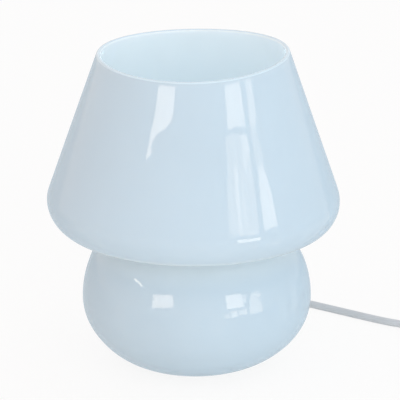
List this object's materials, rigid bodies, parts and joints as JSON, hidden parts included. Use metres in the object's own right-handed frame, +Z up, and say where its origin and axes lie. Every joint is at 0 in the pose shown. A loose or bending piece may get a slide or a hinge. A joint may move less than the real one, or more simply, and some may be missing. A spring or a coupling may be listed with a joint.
{
  "type": "table lamp",
  "caption": "Mushroom-shaped table lamp with an open-topped conical glass shade and bulbous glass base blown in one piece, lampholder in the neck, and a white mains cord.",
  "frame": {"origin": "on the table under the middle of the foot ring", "axes": "+Z up along the lamp's axis of revolution, +Y to the back where the cord leaves the base, +X to the right of the picture"},
  "size_m": [0.4283, 0.245, 0.221],
  "materials": {
    "opal_glass": "glossy opal glass",
    "foot_rubber": "matt",
    "zinc_steel": "zinc plated",
    "pad_rubber": "matt",
    "white_plastic": "satin",
    "holder_core": "glazed",
    "brass_part": "plain",
    "bulb_solder": "satin",
    "bulb_black": "glassy",
    "bulb_nickel": "satin",
    "bulb_glass": "frosted",
    "cord_plastic": "satin",
    "core_brown": "plain",
    "core_blue": "plain",
    "tie_plastic": "satin",
    "plug_plastic": "satin",
    "pin_nickel": "nickel plated",
    "pin_sleeve": "plain",
    "switch_plastic": "satin",
    "rocker_plastic": "glossy"
  },
  "bodies": {
    "lamp": {"glass_body": "opal_glass", "foot_ring": "foot_rubber", "holder_bracket": "zinc_steel", "bracket_pads": "pad_rubber", "clamp_bar": "zinc_steel", "bar_pads": "pad_rubber", "nipple": "zinc_steel", "nipple_nuts": "zinc_steel", "bar_washer": "zinc_steel", "cord_grip": "white_plastic", "cord_grip_screw": "zinc_steel", "holder_cap": "white_plastic", "holder_insert": "holder_core", "holder_terminals": "brass_part", "holder_shell": "white_plastic", "holder_screw_shell": "brass_part", "holder_centre_contact": "brass_part", "wall_grommet": "cord_plastic", "strain_relief": "cord_plastic", "inner_cord": "cord_plastic", "wire_live": "core_brown", "wire_neutral": "core_blue", "lead_to_switch": "cord_plastic", "lead_to_coil": "cord_plastic", "cord_coil": "cord_plastic", "coil_tie": "tie_plastic", "plug_lead": "cord_plastic", "plug_body": "plug_plastic", "plug_pins": "pin_nickel", "plug_pin_sleeves": "pin_sleeve", "switch_lower_housing": "switch_plastic", "switch_upper_cover": "switch_plastic", "switch_rocker_pin": "zinc_steel", "switch_screws": "zinc_steel", "switch_cord_clamps": "white_plastic", "switch_contacts": "brass_part", "switch_terminal_screws": "zinc_steel", "switch_neutral_wire": "core_blue", "switch_wire_in": "core_brown", "switch_wire_out": "core_brown"},
    "bulb": {"bulb_contact": "bulb_solder", "bulb_insulator": "bulb_black", "bulb_cap": "bulb_nickel", "bulb_envelope": "bulb_glass"},
    "rocker": {"switch_rocker": "rocker_plastic", "switch_moving_contact": "brass_part"}
  },
  "joints": [
    {"name": "bulb_lift", "type": "slide", "parent": "lamp", "child": "bulb", "axis": [0, 0, 1], "range_m": [0, 0.11]},
    {"name": "switch_press", "type": "hinge", "parent": "lamp", "child": "rocker", "pos_m": [0.20726, 0.01281, 0.0125], "axis": [0.5417, 0.8406, 0], "range_deg": [0, 14]}
  ]
}
